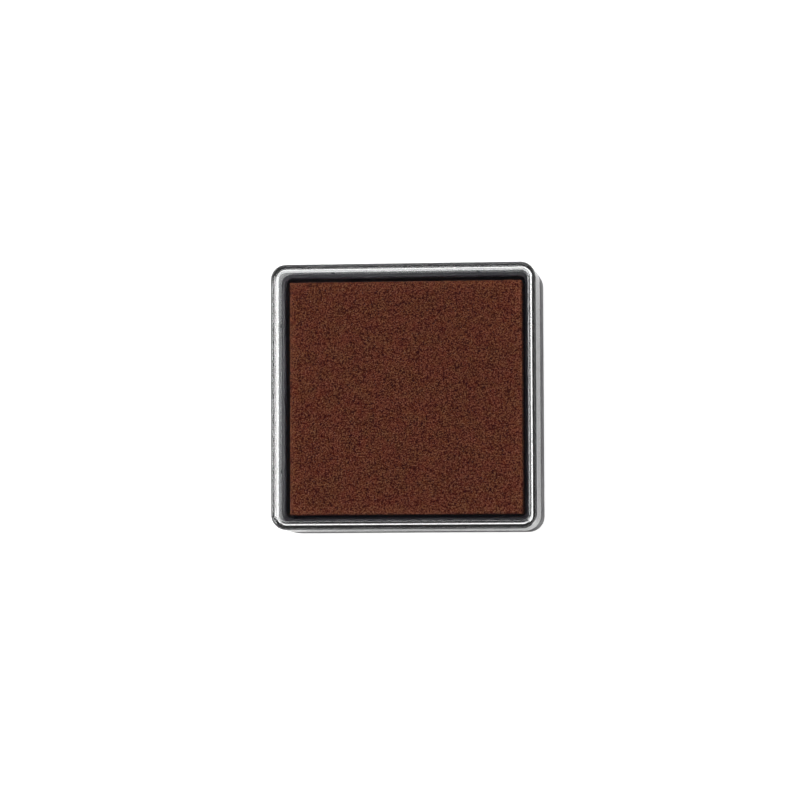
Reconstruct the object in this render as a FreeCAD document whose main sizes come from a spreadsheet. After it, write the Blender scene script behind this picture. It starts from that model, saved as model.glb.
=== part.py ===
"""Square mini ink pad: black tray, clear lift-off lid, ink foam on a felt reservoir, adhesive and label.

Millimetres. +Z is up, and the origin is the middle of the footprint, on the surface that the tray stands on.
Every moulding is square and centred on Z. A "side" is a full width across flats, and a "level" is a height.
"""
import FreeCAD, Part

import os

import Sketcher

DIMENSIONS = {
    # closed case
    "case_side": 40.0,
    "case_height": 18.0,
    "case_corner": 2.4,
    "draft_angle": 1.0,
    "edge_round": 0.25,
    # tray: skirt below the shoulder, rim above it, floor between the well and the hollow underside
    # the rim's outer edge is rounded to lead the lid on
    "shoulder_level": 8.6,
    "skirt_wall": 1.2,
    "skirt_inner_corner": 1.2,
    "rim_level": 13.0,
    "rim_side": 37.7,
    "rim_corner": 1.5,
    "rim_wall": 0.85,
    "rim_lead_in": 0.55,
    "rim_round": 0.15,
    "well_corner": 0.8,
    "floor_level": 6.4,
    "floor_thick": 1.2,
    "floor_round": 0.5,
    # half-round ribs on the rim that grip the lid
    "grip_radius": 0.35,
    "grip_stand": 0.22,
    "grip_offset": 11.0,
    "grip_top_gap": 0.9,
    # gussets in the corner between floor and skirt
    "gusset_reach": 3.0,
    "gusset_lip": 0.6,
    "gusset_drop": 3.6,
    "gusset_thick": 0.9,
    "gusset_offset": 9.0,
    "gusset_root": 0.3,
    # marks of the ejector pins, under the floor
    "ejector_radius": 1.4,
    "ejector_depth": 0.12,
    "ejector_offset": 12.6,
    # lid
    "lid_wall": 0.8,
    "lid_top": 1.2,
    "lid_inner_corner": 1.6,
    "lid_round": 1.0,
    "ceiling_round": 0.5,
    # pad stack, laid into the well by hand and so a little off its middle
    "adhesive_side": 33.6,
    "adhesive_thick": 0.12,
    "felt_side": 35.0,
    "felt_thick": 3.3,
    "foam_side": 34.9,
    "foam_level": 14.6,
    "stack_shift_right": 0.18,
    "stack_shift_front": 0.12,
    # round label in a recess under the floor
    "label_radius": 10.0,
    "label_thick": 0.15,
    "recess_radius": 10.3,
    "recess_depth": 0.2,
}

SIDES = 4
QUARTER_TURN = 90
FULL_TURN = 360
ORIGIN_POINT = (-1, 1)
LOOP_TOLERANCE = 0.02

doc = FreeCAD.newDocument("ink_pad")
sheet = doc.addObject("Spreadsheet::Sheet", "dims")
for row, (alias, value) in enumerate(DIMENSIONS.items(), start=1):
    sheet.set(f"A{row}", alias)
    sheet.set(f"B{row}", str(value))
    sheet.setAlias(f"B{row}", alias)
doc.recompute()


def size(expression):
    """The number that an expression in the sheet's aliases gives now."""
    return float(doc.dims.evalExpression(expression.replace("dims.", "")))


def new_body(name):
    """A body whose label names its file."""
    body = doc.addObject("PartDesign::Body", name)
    body.Label = name
    return body


def origin_feature(body, role):
    """One of the body's own origin planes or axes."""
    return next(item for item in body.Origin.OriginFeatures if item.Role == role)


def new_sketch(body, name, plane, offset):
    """An empty sketch on an origin plane, moved along the plane's normal by an expression."""
    sketch = body.newObject("Sketcher::SketchObject", name)
    sketch.AttachmentSupport = [(origin_feature(body, plane), "")]
    sketch.MapMode = "FlatFace"
    sketch.setExpression("AttachmentOffset.Base.z", offset)
    return sketch


def dimension(sketch, expression, kind, *where):
    """Add a dimension to a sketch and bind it to the sheet."""
    index = sketch.addConstraint(Sketcher.Constraint(kind, *where, size(expression)))
    sketch.setExpression(f"Constraints[{index}]", expression)


def rounded_square(body, name, level, side, corner):
    """A sketch of a square round Z with rounded corners, at a level."""
    sketch = new_sketch(body, name, "XY_Plane", level)
    radius = size(corner)
    middle = size(side) / 2 - radius
    upright = FreeCAD.Vector(0, 0, 1)
    arcs = []
    for index, (right, back) in enumerate(((1, 1), (-1, 1), (-1, -1), (1, -1))):
        turn = FreeCAD.Rotation(upright, index * QUARTER_TURN)
        points = [
            FreeCAD.Vector(right * middle, back * middle, 0) + turn.multVec(radius * spoke)
            for spoke in (FreeCAD.Vector(1, 0, 0), FreeCAD.Vector(1, 1, 0).normalize(), FreeCAD.Vector(0, 1, 0))
        ]
        arcs.append(sketch.addGeometry(Part.Arc(*points)))
    for index, arc in enumerate(arcs):
        ahead = arcs[(index + 1) % SIDES]
        line = sketch.addGeometry(Part.LineSegment(sketch.getPoint(arc, 2), sketch.getPoint(ahead, 1)))
        sketch.addConstraint(Sketcher.Constraint("Tangent", arc, 2, line, 1))
        sketch.addConstraint(Sketcher.Constraint("Tangent", line, 2, ahead, 1))
        sketch.addConstraint(Sketcher.Constraint("Vertical" if index % 2 else "Horizontal", line))
    for arc in arcs[1:]:
        sketch.addConstraint(Sketcher.Constraint("Equal", arcs[0], arc))
    sketch.addConstraint(Sketcher.Constraint("Symmetric", arcs[0], 3, arcs[2], 3, *ORIGIN_POINT))
    dimension(sketch, corner, "Radius", arcs[0])
    dimension(sketch, f"({side}) / 2 - {corner}", "DistanceX", *ORIGIN_POINT, arcs[0], 3)
    dimension(sketch, f"({side}) / 2 - {corner}", "DistanceY", *ORIGIN_POINT, arcs[0], 3)
    return sketch


def circles(body, name, level, radius, places):
    """A sketch of equal circles, each place a pair of expressions or their negatives."""
    sketch = new_sketch(body, name, "XY_Plane", level)
    for right, back in places:
        centre = FreeCAD.Vector(size(right), size(back), 0)
        circle = sketch.addGeometry(Part.Circle(centre, FreeCAD.Vector(0, 0, 1), size(radius)))
        dimension(sketch, radius, "Radius", circle)
        for kind, place in (("DistanceX", right), ("DistanceY", back)):
            if place == "0":
                axis = "Vertical" if kind == "DistanceX" else "Horizontal"
                sketch.addConstraint(Sketcher.Constraint(axis, *ORIGIN_POINT, circle, 3))
            else:
                dimension(sketch, place, kind, *ORIGIN_POINT, circle, 3)
    return sketch


def polygon(body, name, offset, corners):
    """A closed outline on the plane of X and Z, each corner a pair of expressions."""
    sketch = new_sketch(body, name, "XZ_Plane", offset)
    points = [FreeCAD.Vector(size(right), size(up), 0) for right, up in corners]
    lines = [
        sketch.addGeometry(Part.LineSegment(point, points[(index + 1) % len(points)]))
        for index, point in enumerate(points)
    ]
    for index, line in enumerate(lines):
        sketch.addConstraint(Sketcher.Constraint("Coincident", line, 2, lines[(index + 1) % len(lines)], 1))
        right, up = corners[index]
        dimension(sketch, right, "DistanceX", *ORIGIN_POINT, line, 1)
        dimension(sketch, up, "DistanceY", *ORIGIN_POINT, line, 1)
    return sketch


def pad(body, name, sketch, length, taper="0", both_ways=False):
    """Material from a sketch, along its normal."""
    feature = body.newObject("PartDesign::Pad", name)
    feature.Profile = sketch
    feature.SideType = "Symmetric" if both_ways else "One side"
    feature.setExpression("Length", length)
    feature.setExpression("TaperAngle", taper)
    doc.recompute()
    return feature


def pocket(body, name, sketch, depth, upward=False, taper="0"):
    """A hollow from a sketch, downward or upward."""
    before = body.Shape.Volume
    feature = body.newObject("PartDesign::Pocket", name)
    feature.Profile = sketch
    feature.Reversed = upward
    feature.setExpression("Length", depth)
    feature.setExpression("TaperAngle", taper)
    doc.recompute()
    if feature.Shape.Volume >= before:
        raise RuntimeError(f"{name} cuts nothing")
    return feature


def loop(feature, level, side):
    """The edges of a feature that lie flat at a level and form a square ring of about this side."""
    height = size(level)
    half = size(side) / 2
    names = []
    for index, edge in enumerate(feature.Shape.Edges, start=1):
        box = edge.BoundBox
        flat = abs(box.ZMin - height) < LOOP_TOLERANCE and abs(box.ZMax - height) < LOOP_TOLERANCE
        furthest = max(abs(box.XMin), abs(box.XMax), abs(box.YMin), abs(box.YMax))
        if flat and abs(furthest - half) < LOOP_TOLERANCE:
            names.append(f"Edge{index}")
    if not names:
        raise RuntimeError(f"no ring of edges at {level} on {feature.Name}")
    return names


def fillet(body, name, base, radius, *rings):
    """Round whole rings of edges, each ring a level and a side."""
    feature = body.newObject("PartDesign::Fillet", name)
    feature.Base = (base, [edge for level, side in rings for edge in loop(base, level, side)])
    feature.setExpression("Radius", radius)
    doc.recompute()
    return feature


def ring_of_four(body, name, originals):
    """Repeat features on all four sides, by quarter turns round Z."""
    pattern = body.newObject("PartDesign::PolarPattern", name)
    pattern.Originals = originals
    pattern.Axis = (origin_feature(body, "Z_Axis"), [""])
    pattern.Angle = FULL_TURN
    pattern.Occurrences = SIDES
    body.Tip = pattern
    doc.recompute()
    return pattern


def make_base_tray():
    """Black tray, moulded in one: skirt, shoulder, rim with grip ribs, well, and gussets in the hollow underside."""
    body = new_body("base_tray")
    skirt = rounded_square(body, "skirt_outline", "0 mm", "dims.case_side", "dims.case_corner")
    pad(body, "skirt", skirt, "dims.shoulder_level")
    rim = rounded_square(body, "rim_outline", "dims.shoulder_level", "dims.rim_side", "dims.rim_corner")
    pad(body, "rim", rim, "dims.rim_level - dims.shoulder_level", taper="-dims.draft_angle")

    well_side = "dims.rim_side - 2 * dims.rim_wall"
    well = rounded_square(body, "well_outline", "dims.rim_level", well_side, "dims.well_corner")
    pocket(body, "well", well, "dims.rim_level - dims.floor_level")
    under_side = "dims.case_side - 2 * dims.skirt_wall"
    under_level = "dims.floor_level - dims.floor_thick"
    under = rounded_square(body, "under_outline", "0 mm", under_side, "dims.skirt_inner_corner")
    hollow = pocket(body, "underside", under, under_level, upward=True)

    rim_top_side = "dims.rim_side - 2 * (dims.rim_level - dims.shoulder_level) * tan(dims.draft_angle * 1 deg)"
    rounded = fillet(body, "rim_outer_edge", hollow, "dims.rim_lead_in", ("dims.rim_level", rim_top_side))
    rounded = fillet(body, "rim_inner_edge", rounded, "dims.rim_round", ("dims.rim_level", well_side))
    skirt_edges = (("dims.shoulder_level", "dims.case_side"), ("0", "dims.case_side"), ("0", under_side))
    rounded = fillet(body, "skirt_edges", rounded, "dims.edge_round", *skirt_edges)
    fillet(body, "floor_corner", rounded, "dims.floor_round", (under_level, under_side))

    grip_place = "dims.rim_side / 2 + dims.grip_stand - dims.grip_radius"
    grip_places = [(grip_place, "dims.grip_offset"), (grip_place, "-dims.grip_offset")]
    grip = circles(body, "grip_outline", "dims.shoulder_level", "dims.grip_radius", grip_places)
    grip_height = "dims.rim_level - dims.shoulder_level - dims.grip_top_gap"
    ribs = pad(body, "grip_ribs", grip, grip_height)
    ring_of_four(body, "grip_ribs_all_round", [ribs])

    skirt_face = f"({under_side}) / 2"
    corners = [
        (f"{skirt_face} + dims.gusset_root", f"{under_level} - dims.gusset_drop"),
        (f"{skirt_face} + dims.gusset_root", f"{under_level} + dims.gusset_root"),
        (f"{skirt_face} - dims.gusset_reach", f"{under_level} + dims.gusset_root"),
        (f"{skirt_face} - dims.gusset_reach", f"{under_level} - dims.gusset_lip"),
    ]
    gussets = []
    for side_name, sign in (("front", ""), ("back", "-")):
        outline = polygon(body, f"gusset_outline_{side_name}", f"{sign}dims.gusset_offset", corners)
        gussets.append(pad(body, f"gusset_{side_name}", outline, "dims.gusset_thick", both_ways=True))
    ring_of_four(body, "gussets_all_round", gussets)

    recess = circles(body, "recess_outline", under_level, "dims.recess_radius", [("0", "0")])
    pocket(body, "label_recess", recess, "dims.recess_depth", upward=True)
    spot = "dims.ejector_offset"
    spots = [(spot, spot), (f"-{spot}", spot), (f"-{spot}", f"-{spot}"), (spot, f"-{spot}")]
    marks = circles(body, "ejector_outline", under_level, "dims.ejector_radius", spots)
    pocket(body, "ejector_marks", marks, "dims.ejector_depth", upward=True)
    return body


def make_lid():
    """Clear cap, tapered for the mould, that stands on the shoulder and slides down outside the rim."""
    body = new_body("lid")
    outer = rounded_square(body, "lid_outline", "dims.shoulder_level", "dims.case_side", "dims.case_corner")
    pad(body, "cap", outer, "dims.case_height - dims.shoulder_level", taper="-dims.draft_angle")
    mouth_side = "dims.case_side - 2 * dims.lid_wall"
    inner = rounded_square(body, "mouth_outline", "dims.shoulder_level", mouth_side, "dims.lid_inner_corner")
    inner_height = "(dims.case_height - dims.lid_top - dims.shoulder_level)"
    hollow = pocket(body, "inside", inner, inner_height, upward=True, taper="-dims.draft_angle")

    slope = "tan(dims.draft_angle * 1 deg)"
    ceiling = ("dims.case_height - dims.lid_top", f"{mouth_side} - 2 * {inner_height} * {slope}")
    top = ("dims.case_height", f"dims.case_side - 2 * (dims.case_height - dims.shoulder_level) * {slope}")
    rounded = fillet(body, "ceiling_corner", hollow, "dims.ceiling_round", ceiling)
    rounded = fillet(body, "top_edge", rounded, "dims.lid_round", top)
    mouth_edges = (("dims.shoulder_level", "dims.case_side"), ("dims.shoulder_level", mouth_side))
    fillet(body, "mouth_edges", rounded, "dims.edge_round", *mouth_edges)
    return body


def make_layer(name, side, low, thick):
    """A square layer of the pad stack, with its underside at a level."""
    layer = doc.addObject("Part::Box", name)
    layer.Label = name
    layer.setExpression("Length", side)
    layer.setExpression("Width", side)
    layer.setExpression("Height", thick)
    layer.setExpression("Placement.Base.x", f"-({side}) / 2 + dims.stack_shift_right")
    layer.setExpression("Placement.Base.y", f"-({side}) / 2 - dims.stack_shift_front")
    layer.setExpression("Placement.Base.z", low)
    return layer


def make_label():
    """Round paper label against the roof of its recess."""
    label = doc.addObject("Part::Cylinder", "underside_label")
    label.Label = "underside_label"
    label.setExpression("Radius", "dims.label_radius")
    label.setExpression("Height", "dims.label_thick")
    roof = "dims.floor_level - dims.floor_thick + dims.recess_depth"
    label.setExpression("Placement.Base.z", f"{roof} - dims.label_thick")
    return label


def check(parts):
    """Stop if any object has failed or any sub-part isn't one valid solid."""
    for item in doc.Objects:
        if {"Invalid", "Error"} & set(item.State):
            raise RuntimeError(f"{item.Name} failed: {item.State}")
    for part in parts:
        shape = part.Shape
        if shape.isNull() or not shape.isValid() or len(shape.Solids) != 1:
            raise RuntimeError(f"{part.Label} isn't one valid solid")
        print(f"{part.Label}: {shape.Volume:.1f} mm3, {shape.BoundBox}")


felt_level = "dims.floor_level + dims.adhesive_thick"
foam_low = f"{felt_level} + dims.felt_thick"
sub_parts = [
    make_base_tray(),
    make_layer("adhesive_sheet", "dims.adhesive_side", "dims.floor_level", "dims.adhesive_thick"),
    make_layer("reservoir_felt", "dims.felt_side", felt_level, "dims.felt_thick"),
    make_layer("foam_pad", "dims.foam_side", foam_low, f"dims.foam_level - ({foam_low})"),
    make_label(),
    make_lid(),
]
doc.recompute()
check(sub_parts)
os.makedirs("parts", exist_ok=True)
for sub_part in sub_parts:
    sub_part.Shape.exportStep(f"parts/{sub_part.Label}.step")
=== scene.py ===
import math

import bpy
import numpy as np
from mathutils import Matrix, Vector


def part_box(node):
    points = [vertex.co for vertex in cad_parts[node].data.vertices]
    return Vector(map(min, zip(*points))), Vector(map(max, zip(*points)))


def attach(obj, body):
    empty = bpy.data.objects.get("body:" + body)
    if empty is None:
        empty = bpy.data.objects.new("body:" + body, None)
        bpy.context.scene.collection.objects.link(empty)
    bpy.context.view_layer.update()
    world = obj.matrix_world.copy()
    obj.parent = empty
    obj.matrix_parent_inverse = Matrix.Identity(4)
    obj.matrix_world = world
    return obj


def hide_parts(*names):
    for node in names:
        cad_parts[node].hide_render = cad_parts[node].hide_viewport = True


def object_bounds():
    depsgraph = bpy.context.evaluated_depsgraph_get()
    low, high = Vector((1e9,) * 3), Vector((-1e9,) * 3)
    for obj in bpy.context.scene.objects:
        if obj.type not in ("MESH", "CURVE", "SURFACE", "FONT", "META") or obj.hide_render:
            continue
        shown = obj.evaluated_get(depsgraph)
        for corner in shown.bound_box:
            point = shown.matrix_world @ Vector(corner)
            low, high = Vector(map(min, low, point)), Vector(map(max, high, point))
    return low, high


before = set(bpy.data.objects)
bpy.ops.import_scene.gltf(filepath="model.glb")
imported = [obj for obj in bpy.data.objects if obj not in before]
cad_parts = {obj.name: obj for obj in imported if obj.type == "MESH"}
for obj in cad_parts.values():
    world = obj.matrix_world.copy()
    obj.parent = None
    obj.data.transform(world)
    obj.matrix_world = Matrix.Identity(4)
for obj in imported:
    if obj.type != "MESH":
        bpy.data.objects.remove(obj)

# A square mini ink pad seen from above: clear lid over a black tray with brown inked foam.
# Everything is in metres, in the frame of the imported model, and MM turns millimetres into metres.
MM = 0.001
SEED = 41
ON_FACE = 0.001 * MM

CAD_LOW, CAD_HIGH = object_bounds()
FOAM_LOW, FOAM_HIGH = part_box("foam_pad")
FELT_LOW, FELT_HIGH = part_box("reservoir_felt")
LABEL_LOW, LABEL_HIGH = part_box("underside_label")


# ---------------------------------------------------------------- node helpers


def new_material(name):
    """A new node material, with its tree and its Principled shader."""
    material = bpy.data.materials.new(name)
    material.use_nodes = True
    tree = material.node_tree
    shader = tree.nodes["Principled BSDF"]
    return material, tree, shader


def add(tree, kind, **settings):
    """A node with some of its properties set."""
    node = tree.nodes.new(kind)
    for key, value in settings.items():
        setattr(node, key, value)
    return node


def link(tree, source, target):
    tree.links.new(source, target)


def object_point(tree):
    """Position in the object's own frame, in metres."""
    return add(tree, "ShaderNodeTexCoord").outputs["Object"]


def noise(tree, point, grain, detail=2.0, roughness=0.5):
    """Smooth noise from 0 to 1 whose bumps are about `grain` metres wide."""
    node = add(tree, "ShaderNodeTexNoise")
    node.inputs["Scale"].default_value = 1 / grain
    node.inputs["Detail"].default_value = detail
    node.inputs["Roughness"].default_value = roughness
    link(tree, point, node.inputs["Vector"])
    return node.outputs["Fac"]


def remap(tree, value, low, high, to_low=0.0, to_high=1.0):
    """A clamped straight-line change of range."""
    node = add(tree, "ShaderNodeMapRange")
    for socket, number in zip(node.inputs[1:5], (low, high, to_low, to_high)):
        socket.default_value = number
    link(tree, value, node.inputs[0])
    return node.outputs[0]


def calculate(tree, operation, first, second):
    """A Math node; each operand is a number or an output."""
    node = add(tree, "ShaderNodeMath", operation=operation)
    for socket, operand in zip(node.inputs, (first, second)):
        if isinstance(operand, (int, float)):
            socket.default_value = operand
        else:
            link(tree, operand, socket)
    return node.outputs[0]


def ramp(tree, value, stops):
    """A colour for a value, from (place, colour) stops."""
    node = add(tree, "ShaderNodeValToRGB")
    elements = node.color_ramp.elements
    while len(elements) < len(stops):
        elements.new(0.5)
    for element, (place, colour) in zip(elements, stops):
        element.position = place
        element.color = (*colour, 1)
    link(tree, value, node.inputs["Fac"])
    return node.outputs["Color"]


def mix_colours(tree, share, first, second):
    """Blend two colours, each a colour or an output."""
    node = add(tree, "ShaderNodeMix", data_type="RGBA")
    link(tree, share, node.inputs["Factor"])
    for socket, colour in zip((node.inputs[6], node.inputs[7]), (first, second)):
        if isinstance(colour, tuple):
            socket.default_value = (*colour, 1)
        else:
            link(tree, colour, socket)
    return node.outputs[2]


def bump(tree, shader, height, depth, strength=1.0):
    """Relief from a height between 0 and 1, `depth` metres deep."""
    node = add(tree, "ShaderNodeBump")
    node.inputs["Strength"].default_value = strength
    node.inputs["Distance"].default_value = depth
    link(tree, height, node.inputs["Height"])
    link(tree, node.outputs["Normal"], shader.inputs["Normal"])


def linear(red, green, blue):
    """A colour given in 0 to 255 as screens show it, made linear."""
    shares = [part / 255 for part in (red, green, blue)]
    return tuple(c / 12.92 if c <= 0.04045 else ((c + 0.055) / 1.055) ** 2.4 for c in shares)


def wear(obj, material):
    """Give an object one material."""
    obj.data.materials.clear()
    obj.data.materials.append(material)
    for polygon in obj.data.polygons:
        polygon.material_index = 0


# ---------------------------------------------------------------- materials

# linear colours of the ink, from the painted shade of a pore to the painted light of a lit cell wall, in
# browner and redder patches
INK_DARK = (0.0285, 0.0002, 0.0001)
INK_MIDDLE = (0.1070, 0.0226, 0.0052)
INK_LIGHT = (0.2950, 0.1110, 0.0530)
INK_DARK_RED = (0.0325, 0.0002, 0.0001)
INK_MIDDLE_RED = (0.1180, 0.0180, 0.0066)
INK_LIGHT_RED = (0.3100, 0.0970, 0.0560)
PORE_SHADE = 0.45
BORDER_LIFT = 0.14
TONE_LIFT = 0.12

PLASTIC_SHADOW = (0.015, 0.0130, 0.0185)
PLASTIC_SHEEN = (0.021, 0.0185, 0.0250)
BLACK_IOR = 1.5
CLEAR_IOR = 1.59
CLEAR_TINT = (0.985, 0.99, 0.99, 1)
RUB_INNER = 1.3 * MM
RUB_OUTER = 0.4 * MM

SWATCH_SHARE = 0.36
SWATCH_EDGE = 0.05 * MM
FLOOR_GLOW = 0.5


def black_plastic():
    """Satin black polystyrene with a faint flow texture and a fine grain."""
    material, tree, shader = new_material("black_polystyrene")
    point = object_point(tree)
    flow = noise(tree, point, 3 * MM, detail=3)
    grain = noise(tree, point, 0.12 * MM, detail=2)
    tone = ramp(tree, flow, ((0.3, PLASTIC_SHADOW), (0.7, PLASTIC_SHEEN)))
    link(tree, tone, shader.inputs["Base Color"])
    link(tree, remap(tree, flow, 0.35, 0.65, 0.32, 0.42), shader.inputs["Roughness"])
    shader.inputs["IOR"].default_value = BLACK_IOR
    relief = calculate(tree, "ADD", flow, calculate(tree, "MULTIPLY", grain, 0.15))
    bump(tree, shader, relief, 0.02 * MM, 0.4)
    return material


def clear_plastic():
    """Clear colourless polystyrene, polished, with faint scuffs and rubbed edges."""
    material, tree, shader = new_material("clear_polystyrene")
    point = object_point(tree)
    flow = noise(tree, point, 6 * MM, detail=2)
    scuff = noise(tree, point, 0.8 * MM, detail=4, roughness=0.7)
    shader.inputs["Base Color"].default_value = CLEAR_TINT
    shader.inputs["Transmission Weight"].default_value = 1.0
    shader.inputs["IOR"].default_value = CLEAR_IOR
    parts = add(tree, "ShaderNodeSeparateXYZ")
    link(tree, point, parts.inputs[0])
    sideways = [calculate(tree, "ABSOLUTE", parts.outputs[axis], 0) for axis in ("X", "Y")]
    outward = calculate(tree, "MAXIMUM", *sideways)
    edge = remap(tree, outward, CAD_HIGH.x - RUB_INNER, CAD_HIGH.x - RUB_OUTER)
    rubbed = calculate(tree, "MULTIPLY", remap(tree, scuff, 0.5, 0.75), edge)
    polish = remap(tree, scuff, 0.55, 0.8, 0.012, 0.05)
    roughness = calculate(tree, "ADD", polish, calculate(tree, "MULTIPLY", rubbed, 0.2))
    link(tree, roughness, shader.inputs["Roughness"])
    relief = calculate(tree, "ADD", flow, calculate(tree, "MULTIPLY", rubbed, 1.5))
    bump(tree, shader, relief, 0.01 * MM, 0.3)
    return material


def inked_foam():
    """Brown ink in open-pored foam, with painted shade in the pores and painted light where the wet cell
    walls catch light.
    """
    material, tree, shader = new_material("inked_foam")
    point = object_point(tree)
    pore = add(tree, "ShaderNodeAttribute", attribute_name="pore").outputs["Fac"]
    grain = noise(tree, point, 0.2 * MM, detail=2, roughness=0.6)
    patch = noise(tree, point, 2.4 * MM, detail=3)
    # painted shade darkens the colour with each pore's depth; the fine grain is partly the foam's cell
    # texture and partly painted glints on wet cell walls
    shade = calculate(tree, "MULTIPLY", pore, PORE_SHADE)
    tone = calculate(tree, "SUBTRACT", remap(tree, grain, 0.385, 0.625), shade)
    border = add(tree, "ShaderNodeAttribute", attribute_name="border").outputs["Fac"]
    tone = calculate(tree, "ADD", tone, calculate(tree, "MULTIPLY", border, BORDER_LIFT))
    tone = calculate(tree, "ADD", tone, TONE_LIFT)
    brown = ramp(tree, tone, ((0.0, INK_DARK), (0.5, INK_MIDDLE), (1.0, INK_LIGHT)))
    red = ramp(tree, tone, ((0.0, INK_DARK_RED), (0.5, INK_MIDDLE_RED), (1.0, INK_LIGHT_RED)))
    share = remap(tree, patch, 0.4, 0.6, 0.0, 0.7)
    link(tree, mix_colours(tree, share, brown, red), shader.inputs["Base Color"])
    shader.inputs["Roughness"].default_value = 0.8
    shader.inputs["Specular IOR Level"].default_value = 0.05
    bump(tree, shader, grain, 0.05 * MM, 0.3)
    return material


def inked_felt():
    """Felt soaked with the same ink, darker and fibrous."""
    material, tree, shader = new_material("inked_felt")
    point = object_point(tree)
    fibre = noise(tree, point, 0.5 * MM, detail=5, roughness=0.75)
    tone = ramp(tree, fibre, ((0.3, linear(38, 15, 9)), (0.7, linear(78, 42, 30))))
    link(tree, tone, shader.inputs["Base Color"])
    shader.inputs["Roughness"].default_value = 0.8
    bump(tree, shader, fibre, 0.15 * MM, 0.7)
    return material


def adhesive_film():
    """Translucent double-sided film with small air pockets."""
    material, tree, shader = new_material("adhesive_film")
    point = object_point(tree)
    pocket = noise(tree, point, 1.6 * MM, detail=2)
    tone = ramp(tree, pocket, ((0.4, linear(205, 198, 180)), (0.65, linear(228, 224, 212))))
    link(tree, tone, shader.inputs["Base Color"])
    link(tree, remap(tree, pocket, 0.4, 0.6, 0.3, 0.5), shader.inputs["Roughness"])
    bump(tree, shader, pocket, 0.02 * MM, 0.4)
    return material


def label_paper():
    """Uncoated label paper, plain but for a round swatch of the ink's colour."""
    material, tree, shader = new_material("label_paper")
    point = object_point(tree)
    fibre = noise(tree, point, 0.35 * MM, detail=5, roughness=0.7)
    paper = ramp(tree, fibre, ((0.3, linear(222, 218, 208)), (0.7, linear(240, 237, 229))))
    printed = ramp(tree, fibre, ((0.3, linear(84, 45, 33)), (0.7, linear(100, 58, 44))))
    flat = add(tree, "ShaderNodeVectorMath", operation="MULTIPLY")
    flat.inputs[1].default_value = (1, 1, 0)
    link(tree, point, flat.inputs[0])
    length = add(tree, "ShaderNodeVectorMath", operation="LENGTH")
    link(tree, flat.outputs[0], length.inputs[0])
    swatch = (LABEL_HIGH.x - LABEL_LOW.x) * SWATCH_SHARE
    away = length.outputs["Value"]
    inside = remap(tree, away, swatch - SWATCH_EDGE, swatch + SWATCH_EDGE, 1.0, 0.0)
    link(tree, mix_colours(tree, inside, paper, printed), shader.inputs["Base Color"])
    shader.inputs["Roughness"].default_value = 0.75
    bump(tree, shader, fibre, 0.02 * MM, 0.5)
    return material


def pale_floor():
    """Plain matt white card, exposed up to white where it is seen directly."""
    material, tree, shader = new_material("floor_card")
    tone = noise(tree, object_point(tree), 2 * MM, detail=3)
    card = ramp(tree, tone, ((0.3, (0.86, 0.86, 0.86)), (0.7, (0.88, 0.88, 0.88))))
    link(tree, card, shader.inputs["Base Color"])
    shader.inputs["Roughness"].default_value = 0.9
    shader.inputs["Specular IOR Level"].default_value = 0.1
    shader.inputs["Emission Color"].default_value = (1, 1, 1, 1)
    seen = add(tree, "ShaderNodeLightPath").outputs["Is Camera Ray"]
    link(tree, calculate(tree, "MULTIPLY", seen, FLOOR_GLOW), shader.inputs["Emission Strength"])
    return material


# ---------------------------------------------------------------- soft pieces


def pits(along, across, pitch, largest, random):
    """Depth of round pores, in metres, at points of a flat cut face.

    One pore lies somewhere in each square cell of `pitch`. A point takes the deepest pore that reaches it.
    """
    columns = int(along.max() / pitch) + 3
    rows = int(across.max() / pitch) + 3
    centre_u = (np.arange(columns)[:, None] - 1 + random.random((columns, rows))) * pitch
    centre_v = (np.arange(rows)[None, :] - 1 + random.random((columns, rows))) * pitch
    radius = largest * (0.35 + 0.65 * random.random((columns, rows)))
    cell_u = (along / pitch).astype(int) + 1
    cell_v = (across / pitch).astype(int) + 1
    depth = np.zeros_like(along)
    for step_u in (-1, 0, 1):
        for step_v in (-1, 0, 1):
            near = (np.clip(cell_u + step_u, 0, columns - 1), np.clip(cell_v + step_v, 0, rows - 1))
            away = np.hypot(along - centre_u[near], across - centre_v[near]) / radius[near]
            depth = np.maximum(depth, radius[near] * np.clip(1 - away**2, 0, None))
    return depth


def cut_block(name, low, high, segments, levels):
    """A closed block as a mesh: a square grid on top, walls with rows at the given levels, a flat bottom.

    Returns the object and its vertices.
    """
    steps = np.linspace(0, 1, segments + 1)
    along_x = low.x + steps * (high.x - low.x)
    along_y = low.y + steps * (high.y - low.y)
    grid_x, grid_y = np.meshgrid(along_x, along_y, indexing="ij")
    top = np.stack([grid_x, grid_y, np.full_like(grid_x, high.z)], axis=-1).reshape(-1, 3)
    index = np.arange((segments + 1) ** 2).reshape(segments + 1, segments + 1)
    corners = [index[:-1, :-1], index[1:, :-1], index[1:, 1:], index[:-1, 1:]]
    quads = np.stack(corners, axis=-1).reshape(-1, 4)
    border = np.concatenate([index[:-1, 0], index[-1, :-1], index[:0:-1, -1], index[0, :0:-1]])
    points = [top]
    faces = [quads]
    above = border
    for level in levels:
        row = top[border].copy()
        row[:, 2] = level
        below = sum(len(p) for p in points) + np.arange(len(border))
        points.append(row)
        faces.append(np.stack([above, below, np.roll(below, -1), np.roll(above, -1)], axis=-1))
        above = below
    vertices = np.concatenate(points)
    polygons = np.concatenate(faces).tolist() + [above[::-1].tolist()]
    mesh = bpy.data.meshes.new(name)
    mesh.from_pydata(vertices.tolist(), [], polygons)
    mesh.update()
    obj = bpy.data.objects.new(name, mesh)
    bpy.context.scene.collection.objects.link(obj)
    return obj, vertices


def set_points(obj, vertices):
    obj.data.vertices.foreach_set("co", vertices.astype(np.float32).ravel())
    obj.data.update()


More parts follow.
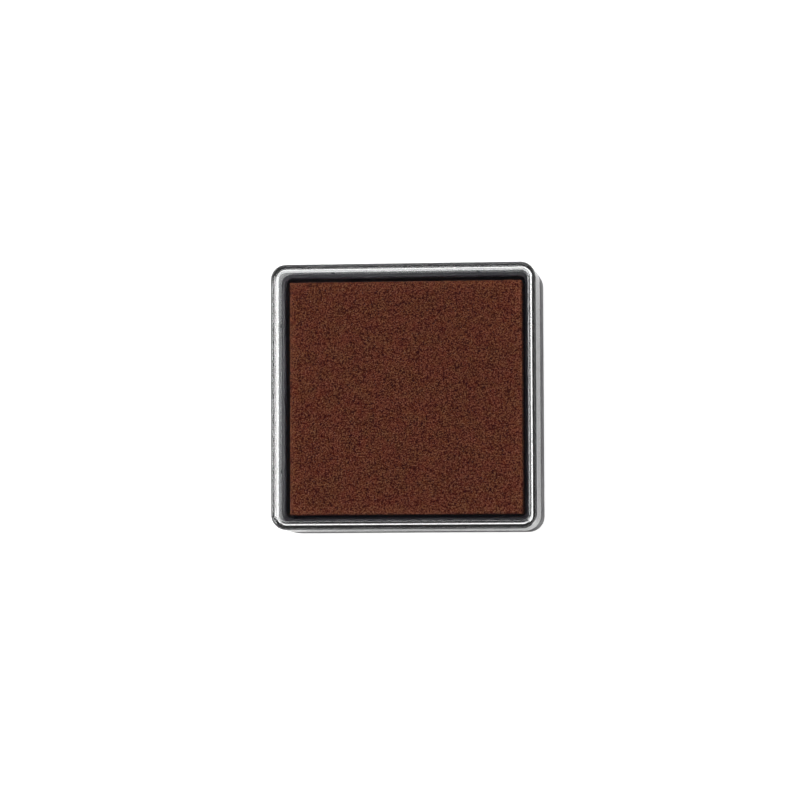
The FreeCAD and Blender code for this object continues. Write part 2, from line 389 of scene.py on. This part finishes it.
FOAM_SEGMENTS = 280
FOAM_PORE_PITCH = 0.27 * MM
FOAM_PORE_RADIUS = 0.2 * MM
FOAM_FINE_BAND = 2.0 * MM
FOAM_FINE_ROWS = 12
FOAM_COARSE_ROWS = 4
FOAM_EDGE = 0.12 * MM
FOAM_BORDER = 1.6 * MM
FOAM_PITTED_BAND = 3 * MM
TOP_PORE_DEPTH = 0.6
WALL_PORE_DEPTH = 0.5


def make_foam():
    """The stamping foam: a knife-cut block whose top and upper walls are open pores."""
    random = np.random.default_rng(SEED)
    band_foot = FOAM_HIGH.z - FOAM_FINE_BAND
    fine = np.linspace(FOAM_HIGH.z, band_foot, FOAM_FINE_ROWS + 1)[1:]
    coarse = np.linspace(band_foot, FOAM_LOW.z, FOAM_COARSE_ROWS + 1)[1:]
    levels = np.concatenate([fine, coarse])
    foam, points = cut_block("foam_block", FOAM_LOW, FOAM_HIGH, FOAM_SEGMENTS, levels)
    middle = np.array([(FOAM_LOW.x + FOAM_HIGH.x) / 2, (FOAM_LOW.y + FOAM_HIGH.y) / 2])
    half = (FOAM_HIGH.x - FOAM_LOW.x) / 2
    from_middle = points[:, :2] - middle
    reach = np.abs(from_middle)
    on_top = points[:, 2] > FOAM_HIGH.z - ON_FACE
    along = points[:, 0] - FOAM_LOW.x
    across = points[:, 1] - FOAM_LOW.y
    down = FOAM_HIGH.z - points[:, 2]
    pore = pits(along, across, FOAM_PORE_PITCH, FOAM_PORE_RADIUS, random)
    on_x_wall = reach[:, 0] > reach[:, 1]
    round_wall = np.where(on_x_wall, across, along + 2 * half)
    wall_pore = pits(round_wall, down, FOAM_PORE_PITCH, FOAM_PORE_RADIUS, random)
    outermost = reach.max(axis=1)
    edge_round = np.clip((outermost - (half - FOAM_EDGE)) / FOAM_EDGE, 0, 1) ** 2 * FOAM_EDGE
    moved = points.copy()
    moved[on_top, 2] -= TOP_PORE_DEPTH * pore[on_top] + edge_round[on_top]
    inward = np.where(down < FOAM_PITTED_BAND, WALL_PORE_DEPTH * wall_pore, 0)
    wall = ~on_top
    for axis in (0, 1):
        facing = wall & (reach[:, axis] > half - ON_FACE)
        moved[facing, axis] -= np.sign(from_middle[facing, axis]) * inward[facing]
    set_points(foam, moved)
    depth = np.where(on_top, pore, wall_pore) / FOAM_PORE_RADIUS
    border = np.clip((outermost - (half - FOAM_BORDER)) / FOAM_BORDER, 0, 1)
    for name, values in (("pore", depth), ("border", border)):
        attribute = foam.data.attributes.new(name, "FLOAT", "POINT")
        attribute.data.foreach_set("value", values.astype(np.float32))
    foam.data.shade_smooth()
    wear(foam, inked_foam())
    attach(foam, "tray")
    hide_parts("foam_pad")


FELT_SEGMENTS = 90
FELT_ROWS = 8
FELT_UNEVENNESS = 0.03 * MM


def make_felt():
    """The felt reservoir under the foam, with a matted, slightly uneven surface."""
    random = np.random.default_rng(SEED + 1)
    levels = np.linspace(FELT_HIGH.z, FELT_LOW.z, FELT_ROWS + 1)[1:]
    felt, points = cut_block("felt_block", FELT_LOW, FELT_HIGH, FELT_SEGMENTS, levels)
    shake = random.normal(0, 1, points.shape) * FELT_UNEVENNESS
    toward = np.array((FELT_LOW + FELT_HIGH) / 2) - points
    toward /= np.linalg.norm(toward, axis=1)[:, None]
    set_points(felt, points + toward * np.abs(shake))
    felt.data.shade_smooth()
    wear(felt, inked_felt())
    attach(felt, "tray")
    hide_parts("reservoir_felt")


# ---------------------------------------------------------------- floor, light and camera

FLOOR_RADIUS = 1.5
LIGHT_DISTANCE = 0.9

# the sky's colour by the sine of the elevation
SKY_STOPS = (
    (0.0, (0.42, 0.42, 0.42)),
    (0.35, (0.4, 0.4, 0.4)),
    (0.92, (0.4, 0.4, 0.4)),
    (0.97, (0.04, 0.038, 0.045)),
)

# gaps and sizes of the two dark cards of painted shade beside the pad
SHADE_CARD_OVERHANG = 1 * MM
SHADE_CARD_LIFT = 0.1 * MM
FRONT_SHADE_CARD_GAP = 1.5 * MM
FRONT_SHADE_CARD_HEIGHT = 15.2 * MM
RIGHT_SHADE_CARD_SPAN = (3 * MM, 20 * MM)


def make_floor():
    """A round white floor, far larger than the view."""
    bpy.ops.mesh.primitive_circle_add(vertices=96, radius=FLOOR_RADIUS, fill_type="NGON")
    floor = bpy.context.object
    floor.name = "floor"
    wear(floor, pale_floor())


def area_light(name, azimuth, elevation, width, height, power):
    """A soft box that faces the pad. Azimuth 0 is to the right and 90 behind, in degrees."""
    turn, rise = math.radians(azimuth), math.radians(elevation)
    toward = Vector((math.cos(turn) * math.cos(rise), math.sin(turn) * math.cos(rise), math.sin(rise)))
    data = bpy.data.lights.new(name, "AREA")
    data.shape = "RECTANGLE"
    data.size = width
    data.size_y = height
    data.energy = power
    light = bpy.data.objects.new(name, data)
    light.location = toward * LIGHT_DISTANCE
    light.rotation_mode = "QUATERNION"
    light.rotation_quaternion = toward.to_track_quat("Z", "Y")
    bpy.context.scene.collection.objects.link(light)


def make_world():
    """Even studio surroundings: pale at the horizon, dark overhead where the camera stands."""
    world = bpy.data.worlds.new("studio")
    world.use_nodes = True
    tree = world.node_tree
    background = tree.nodes["Background"]
    direction = add(tree, "ShaderNodeTexCoord").outputs["Generated"]
    parts = add(tree, "ShaderNodeSeparateXYZ")
    link(tree, direction, parts.inputs[0])
    link(tree, ramp(tree, parts.outputs["Z"], SKY_STOPS), background.inputs["Color"])
    background.inputs["Strength"].default_value = 1.0
    bpy.context.scene.world = world


def make_lights():
    """A large soft box on the left, one behind, and weak fill from the right and the front."""
    area_light("key_left", azimuth=175, elevation=44, width=0.5, height=0.6, power=5.8)
    area_light("back", azimuth=92, elevation=54, width=0.6, height=0.35, power=2.1)
    area_light("fill_right", azimuth=5, elevation=50, width=0.4, height=0.3, power=2.2)
    area_light("fill_front", azimuth=268, elevation=64, width=0.5, height=0.3, power=1.4)


def make_shade_card(name, corners, material):
    """A dark card of painted shade that only reflections and refractions see."""
    mesh = bpy.data.meshes.new(name)
    mesh.from_pydata(corners, [], [(0, 1, 2, 3)])
    shade_card = bpy.data.objects.new(name, mesh)
    bpy.context.scene.collection.objects.link(shade_card)
    wear(shade_card, material)
    # painted shade: the card is hidden from the camera, from diffuse light and from shadows
    shade_card.visible_camera = False
    shade_card.visible_diffuse = False
    shade_card.visible_shadow = False


def make_shade_cards():
    """Dark cards of painted shade that darken the lid's edges: one stands in front of the pad and one lies
    on its right.
    """
    material, tree, shader = new_material("painted_shade_card")
    grain = noise(tree, object_point(tree), 2 * MM)
    dark = ramp(tree, grain, ((0.3, (0.03, 0.03, 0.03)), (0.7, (0.04, 0.04, 0.04))))
    link(tree, dark, shader.inputs["Base Color"])
    shader.inputs["Roughness"].default_value = 0.9
    front = CAD_LOW.y - FRONT_SHADE_CARD_GAP
    ends = (CAD_LOW.x - SHADE_CARD_OVERHANG, CAD_HIGH.x + SHADE_CARD_OVERHANG)
    standing = [(ends[0], front, 0), (ends[1], front, 0), (ends[1], front, FRONT_SHADE_CARD_HEIGHT)]
    make_shade_card("painted_shade_front", standing + [(ends[0], front, FRONT_SHADE_CARD_HEIGHT)], material)
    near, far = (CAD_HIGH.x + gap for gap in RIGHT_SHADE_CARD_SPAN)
    lying = [(near, ends[0], SHADE_CARD_LIFT), (far, ends[0], SHADE_CARD_LIFT), (far, ends[1], SHADE_CARD_LIFT)]
    make_shade_card("painted_shade_right", lying + [(near, ends[1], SHADE_CARD_LIFT)], material)


# the camera looks at a point of the lid's top a little left of and in front of its middle
CAMERA_HEIGHT = 500 * MM
VIEW_WIDTH = 118.9 * MM
CAMERA_RIGHT = 49.2 * MM
CAMERA_FRONT = 31.1 * MM
AIM_LEFT = 0.36 * MM
AIM_FRONT = 0.68 * MM
CAMERA_ROLL = 0.2
CLIP_NEAR = 0.01
CLIP_FAR = 10


def make_camera():
    """A camera above the pad, a little to its right and front, so that its right side shows."""
    data = bpy.data.cameras.new("camera")
    camera = bpy.data.objects.new("camera", data)
    aim = Vector((-AIM_LEFT, -AIM_FRONT, CAD_HIGH.z))
    place = Vector((CAMERA_RIGHT, -CAMERA_FRONT, CAMERA_HEIGHT))
    back = (place - aim).normalized()
    roll = math.radians(CAMERA_ROLL)
    up = Vector((math.sin(roll), math.cos(roll), 0))
    right = up.cross(back).normalized()
    up = back.cross(right)
    camera.matrix_world = Matrix.Translation(place) @ Matrix((right, up, back)).transposed().to_4x4()
    data.lens = data.sensor_width * (place - aim).length / VIEW_WIDTH
    data.clip_start = CLIP_NEAR
    data.clip_end = CLIP_FAR
    bpy.context.scene.collection.objects.link(camera)
    bpy.context.scene.camera = camera


# ---------------------------------------------------------------- the scene

wear(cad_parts["base_tray"], black_plastic())
wear(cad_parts["lid"], clear_plastic())
wear(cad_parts["adhesive_sheet"], adhesive_film())
wear(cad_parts["underside_label"], label_paper())
make_foam()
make_felt()
make_floor()
make_world()
make_lights()
make_shade_cards()
make_camera()
bpy.context.scene.view_settings.view_transform = "Standard"
